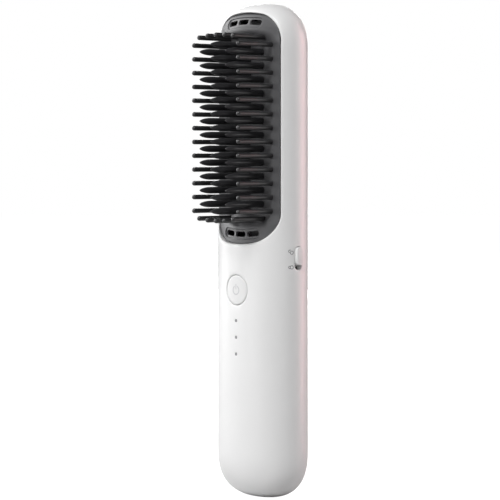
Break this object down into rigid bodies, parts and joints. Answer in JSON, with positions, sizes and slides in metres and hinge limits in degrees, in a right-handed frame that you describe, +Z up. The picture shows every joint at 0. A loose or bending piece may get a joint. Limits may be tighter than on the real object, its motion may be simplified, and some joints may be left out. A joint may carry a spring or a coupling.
{
  "type": "hair straightening brush",
  "caption": "Cordless heated hair brush: long rounded body, grey tooth plate with heated and guard teeth, power button and sliding travel lock.",
  "frame": {"origin": "on the flat face of the base that the brush stands on, on the axis of the handle", "axes": "+Z up the brush from its base to its rounded top, -Y the way the teeth point, +X to the side with the travel lock"},
  "size_m": [0.0446, 0.0443, 0.205],
  "materials": {
    "shell_white": "satin",
    "plate_grey": "fine matt texture",
    "comb_black": "black satin coating",
    "pin_black": "satin",
    "ceramic": "matt fired ceramic",
    "mica": "matt",
    "steel": "bright",
    "nickel": "bright",
    "bright_metal": "bright",
    "epoxy": "glossy bead",
    "frame_grey": "matt",
    "black_plastic": "matt",
    "potting": "satin",
    "cell_wrap": "satin film",
    "board_green": "satin solder mask",
    "print_grey": "matt",
    "light_guide": "frosted",
    "led_body": "glossy",
    "wire_red": "satin",
    "wire_grey": "satin"
  },
  "bodies": {
    "body": {"front_shell": "shell_white", "rear_shell": "shell_white", "face_plate": "plate_grey", "comb_base": "comb_black", "heated_teeth": "comb_black", "pin_frame": "pin_black", "guard_pins": "pin_black", "heater": "ceramic", "insulation_sheet": "mica", "clamp_plate": "steel", "thermistor": "epoxy", "thermal_fuse": "bright_metal", "head_carrier": "frame_grey", "ion_holder_top": "black_plastic", "ion_holder_bottom": "black_plastic", "ion_needles_top": "bright_metal", "ion_needles_bottom": "bright_metal", "ion_module": "potting", "battery_cell": "cell_wrap", "cell_tab_low": "nickel", "cell_tab_high": "nickel", "cradle": "frame_grey", "main_board": "board_green", "board_chips": "black_plastic", "tact_switch": "black_plastic", "light_pipe": "light_guide", "indicator_leds": "led_body", "lock_switch": "black_plastic", "switch_board": "board_green", "charge_board": "board_green", "charge_socket": "nickel", "socket_tongue": "black_plastic", "comb_screws": "steel", "carrier_screws": "steel", "cradle_screws": "steel", "board_screws": "steel", "heater_leads": "wire_red", "battery_lead": "wire_red", "ion_leads": "wire_grey", "charge_lead": "wire_grey"},
    "power_button": {"power_button": "shell_white", "button_mark": "print_grey"},
    "tact_plunger": {"tact_plunger": "black_plastic"},
    "lock": {"lock_knob": "shell_white", "switch_slider": "black_plastic"}
  },
  "joints": [
    {"name": "button_press", "type": "slide", "parent": "body", "child": "power_button", "axis": [0, 1, 0], "range_m": [0, 0.0004], "stiffness_N_per_m": 2000, "springref_m": -0.0005},
    {"name": "plunger_press", "type": "slide", "parent": "body", "child": "tact_plunger", "axis": [0, 1, 0], "range_m": [0, 0.0004]},
    {"name": "lock_slide", "type": "slide", "parent": "body", "child": "lock", "axis": [0, 0, -1], "range_m": [0, 0.0019]}
  ],
  "couplings": [
    {"joint": "plunger_press", "follows": "button_press", "ratio": 1}
  ]
}
